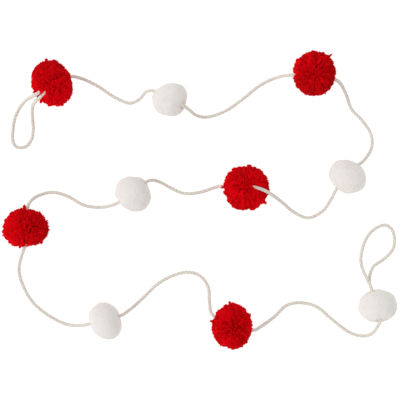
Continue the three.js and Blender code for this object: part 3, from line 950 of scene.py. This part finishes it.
# %% Shader values
class Value:
    """A number that the shader works out at every point. Its operators add Math nodes."""

    def __init__(self, finish, socket):
        self.finish = finish
        self.socket = socket

    def math(self, operation, first, second):
        """The result of a Math node on two operands, each a Value or a number."""
        operands = {"Value": first, "Value_001": second}
        return self.finish.node("ShaderNodeMath", {"operation": operation}, "Value", **operands)

    def __add__(self, other):
        return self.math("ADD", self, other)

    def __radd__(self, other):
        return self.math("ADD", other, self)

    def __sub__(self, other):
        return self.math("SUBTRACT", self, other)

    def __rsub__(self, other):
        return self.math("SUBTRACT", other, self)

    def __mul__(self, other):
        return self.math("MULTIPLY", self, other)

    def __rmul__(self, other):
        return self.math("MULTIPLY", other, self)

    def __pow__(self, other):
        return self.math("POWER", self, other)


class Finish:
    """A material under construction, with the nodes that feed its one shader."""

    def __init__(self, name, **constants):
        self.material = bpy.data.materials.new(name)
        self.material.use_nodes = True
        self.tree = self.material.node_tree
        self.shader = self.tree.nodes["Principled BSDF"]
        for label, number in constants.items():
            self.shader.inputs[label.replace("_", " ")].default_value = number

    def node(self, kind, settings, result, **sockets):
        """Add a node, its settings first, then a number or a link for each socket by its identifier."""
        node = self.tree.nodes.new(kind)
        for label, setting in settings.items():
            setattr(node, label, setting)
        for socket in node.inputs:
            if socket.identifier in sockets:
                self.feed(socket, sockets[socket.identifier])
        return Value(self, next(socket for socket in node.outputs if socket.identifier == result))

    def feed(self, socket, value):
        """Link a Value to a socket, or set a constant on it."""
        if isinstance(value, Value):
            self.tree.links.new(value.socket, socket)
        else:
            socket.default_value = value

    def shade(self, **inputs):
        """Feed the shader's own sockets by their names."""
        for label, value in inputs.items():
            self.feed(self.shader.inputs[label.replace("_", " ")], value)

    def mix(self, factor, first, second):
        """A colour between two colours, each a linear red, green and blue or another mix."""
        first, second = (c if isinstance(c, Value) else (*c, 1) for c in (first, second))
        return self.node(
            "ShaderNodeMix", {"data_type": "RGBA"}, "Result_Color",
            Factor_Float=factor, A_Color=first, B_Color=second,
        )

    def noise(self, scale, detail):
        """Cloudy noise over Object coordinates, from 0 to 1: scale clouds to a metre, and detail finer layers
        of clouds on them."""
        place = self.node("ShaderNodeTexCoord", {}, "Object")
        return self.node("ShaderNodeTexNoise", {}, "Fac", Vector=place, Scale=scale, Detail=detail)

    def attribute(self, name):
        """A number that the mesh carries on its points."""
        return self.node("ShaderNodeAttribute", {"attribute_name": name}, "Fac")

    def bump(self, height, distance):
        """Normals of a surface raised by height times distance."""
        return self.node("ShaderNodeBump", {}, "Normal", Height=height, Distance=distance)


# %% [markdown]
# The cord is undyed cotton, a warm cream. The grooves between the plies hold shade, and each ply shows the
# slanting threads that it is spun from. An image could show them, but two waves on the UV map do it at any
# distance, and turn with the lay.

# %% Cotton finish
COTTON_LIT = (0.92, 0.87, 0.80)
COTTON_GROOVE = (0.75, 0.68, 0.60)
COTTON_THREADS = 21  # round the cord, a whole number so that the threads meet at the seam
COTTON_SLANT = 5.0  # threads that a ply's own twist adds in each lay length
GROOVE_NARROW = 0.6  # power that narrows the shade in the grooves
THREAD_SHADE = 0.2  # how much darker the cotton is between two threads
THREAD_WAVER = 4.0  # radians that a thread wanders
THREAD_CLOUDS = (700, 2.0)  # scale and detail of the noise for that, and in the same way below
SPOTS = 0.4  # how much small spots and larger patches differ from the rest
SPOT_CLOUDS = (260, 2.0)
PATCHES = 0.6
PATCH_CLOUDS = (40, 2.0)
COTTON_GRAIN = 0.6  # height of the grain, where a thread's is one
COTTON_GRAIN_CLOUDS = (2500, 2.0)
COTTON_BUMP = 0.00012  # height of a thread


def cotton():
    """Cream cotton: the groove's shade follows the cosine of the place across a ply, the threads a sine."""
    finish = Finish("cotton", Roughness=0.9, Specular_IOR_Level=0.15)
    lay = finish.node("ShaderNodeUVMap", {"uv_map": "lay"}, "UV")
    around = finish.node("ShaderNodeSeparateXYZ", {}, "X", Vector=lay)
    along = finish.node("ShaderNodeSeparateXYZ", {}, "Y", Vector=lay)
    across_ply = around * (2 * np.pi * CORD_PLIES)
    on_ply = 0.5 + 0.5 * finish.node("ShaderNodeMath", {"operation": "COSINE"}, "Value", Value=across_ply)
    slant = 2 * np.pi * (COTTON_THREADS * around + COTTON_SLANT * along)
    slant = slant + THREAD_WAVER * finish.noise(*THREAD_CLOUDS)
    thread = 0.5 + 0.5 * finish.node("ShaderNodeMath", {"operation": "SINE"}, "Value", Value=slant)
    uneven = SPOTS * (finish.noise(*SPOT_CLOUDS) - 0.5) + PATCHES * (finish.noise(*PATCH_CLOUDS) - 0.5)
    lit = on_ply**GROOVE_NARROW * (1 - THREAD_SHADE + THREAD_SHADE * thread) + uneven
    finish.shade(
        Base_Color=finish.mix(lit, COTTON_GROOVE, COTTON_LIT),
        Normal=finish.bump(thread + COTTON_GRAIN * finish.noise(*COTTON_GRAIN_CLOUDS), COTTON_BUMP),
    )
    return finish.material


cord.data.materials.append(cotton())
print("cotton has", len(cord.data.materials[0].node_tree.nodes), "nodes")

# %% [markdown]
# The yarn is dyed red. Dark roots could be painted between its ends, but the light already makes them dark.
# So every ply has one full red at its root, which the depth attribute turns into the ply's own red towards
# the tip. The tone attribute sets that one between dull and bright, and on most pompoms it also carries one
# side painted brighter, which is painted light.

# %% Yarn finish
YARN_DULL = (0.50, 0.001, 0.003)
YARN_BRIGHT = (0.89, 0.001, 0.007)
YARN_ROOT = (0.80, 0.0, 0.003)
YARN_OWN = 0.9  # share of its own red that a ply has at its tip
YARN_PATCHY = 0.15  # how much that differs from patch to patch
YARN_PATCH_CLOUDS = (900, 2.0)
YARN_GRAIN_CLOUDS = (3000, 3.0)
YARN_BUMP = 0.00012  # height of the wool's grain


def yarn():
    """Red yarn: the root's red fades into the ply's own, in step with the depth and a little patchily."""
    finish = Finish("red_yarn", Roughness=0.95, Specular_IOR_Level=0.05)
    depth = finish.attribute("depth")
    tone = finish.attribute("tone")
    # the tone carries each pompom's painted brighter side, which is painted light
    tip = finish.mix(tone, YARN_DULL, YARN_BRIGHT)
    own = depth * (YARN_OWN + YARN_PATCHY * (finish.noise(*YARN_PATCH_CLOUDS) - 0.5))
    finish.shade(
        Base_Color=finish.mix(own, YARN_ROOT, tip),
        Normal=finish.bump(finish.noise(*YARN_GRAIN_CLOUDS), YARN_BUMP),
    )
    return finish.material


red_yarn = yarn()
for piece in pompoms:
    piece.data.materials.append(red_yarn)
print("red yarn has", len(red_yarn.node_tree.nodes), "nodes")

# %% [markdown]
# Undyed wool felt is an off-white that is slightly warm, quite matte, and mottled where fibres lie thicker.
# Round the cord's holes it is painted a little darker and tan, as painted shade in the dimples and some rubbed
# dirt, which an attribute carries. Modelling every matted fibre would be too much, so the skin gets a fine
# bump over the modelled lumps.

# %% Felt finish
FELT_PALE = (0.92, 0.89, 0.855)
FELT_WARM = (0.815, 0.773, 0.718)
# darker tan round the cord's holes: painted shade in the dimples, with some rubbed dirt
FELT_SHADE_AND_DIRT = (0.55, 0.44, 0.36)
SHADE_AND_DIRT_SHARE = 0.6  # share of the darker tan, painted shade with some dirt, where it is strongest
MOTTLED = 0.5  # share of the warm colour in soft clouds, and below it in matted fibre
MOTTLED_CLOUDS = (120, 3.0)
FIBROUS = 0.35
FIBROUS_CLOUDS = (1100, 4.0)
PILLED = 0.8  # height of small pills, where the matted fibre's is one
PILLED_CLOUDS = (350, 2.0)
FELT_BUMP = 0.0008  # height of the matted fibre


def felt():
    """Off-white wool: two close colours in soft clouds, a darker tan round the holes as painted shade and some
    rubbed dirt, and a bump from two sizes of matted fibre."""
    finish = Finish("white_felt", Roughness=0.95, Specular_IOR_Level=0.1)
    matted = finish.noise(*FIBROUS_CLOUDS)
    wool = finish.mix(finish.noise(*MOTTLED_CLOUDS) * MOTTLED + matted * FIBROUS, FELT_PALE, FELT_WARM)
    finish.shade(
        # painted shade round the cord's holes, with some rubbed dirt
        Base_Color=finish.mix(SHADE_AND_DIRT_SHARE * finish.attribute("rubbed"), wool, FELT_SHADE_AND_DIRT),
        Normal=finish.bump(matted + PILLED * finish.noise(*PILLED_CLOUDS), FELT_BUMP),
    )
    return finish.material


white_felt = felt()
for piece in felt_pieces:
    piece.data.materials.append(white_felt)
print("white felt has", len(white_felt.node_tree.nodes), "nodes")

# %% [markdown]
# The table is a white sweep under soft studio light. Area lamps could give it, but their light would fall off
# over so wide a lay. Here an even white world fills the shade, and one very wide sun from the left models
# the balls. The sweep also glows, so that it stays white under the balls.

# %% Table and light
TABLE_SIZE = 40.0
TABLE_DROP = 0.0003  # how far the table lies under what rests on it, so that no two faces share a height
TABLE_WHITE = 0.4
TABLE_GLOW = 0.8
WORLD_STRENGTH = 0.71
SUN_STRENGTH = 1.0
SUN_FROM = (-1.0, -0.05, 1.15)
SUN_WIDE = 60  # degrees across, seen from the table

corners = TABLE_SIZE / 2 * np.array([(-1, -1), (1, -1), (1, 1), (-1, 1)])
table_mesh = bpy.data.meshes.new("table")
table_mesh.from_pydata([(x, y, -TABLE_DROP) for x, y in corners], [], [(0, 1, 2, 3)])
table = bpy.data.objects.new("table", table_mesh)
bpy.context.scene.collection.objects.link(table)
sweep = Finish("white_sweep", Roughness=1.0, Specular_IOR_Level=0.0, Emission_Strength=TABLE_GLOW)
sweep.shade(Base_Color=(TABLE_WHITE,) * 3 + (1,), Emission_Color=(1, 1, 1, 1))
table_mesh.materials.append(sweep.material)
table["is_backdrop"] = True

world = bpy.data.worlds.new("studio")
world.use_nodes = True
world.node_tree.nodes["Background"].inputs["Color"].default_value = (1, 1, 1, 1)
world.node_tree.nodes["Background"].inputs["Strength"].default_value = WORLD_STRENGTH
bpy.context.scene.world = world

sun_data = bpy.data.lights.new("window", "SUN")
sun_data.energy = SUN_STRENGTH
sun_data.angle = np.radians(SUN_WIDE)
sun = bpy.data.objects.new("window", sun_data)
sun.rotation_euler = (-Vector(SUN_FROM)).to_track_quat("-Z", "Y").to_euler()
bpy.context.scene.collection.objects.link(sun)
print("light from", SUN_FROM)

# %% [markdown]
# Last, the box of the dressed garland is printed. Yarn may stand a little proud, but the garland has to keep
# its size.

# %% Measure and finish
low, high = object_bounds()
print("dressed box", [round(1000 * x) for x in high - low], "mm")
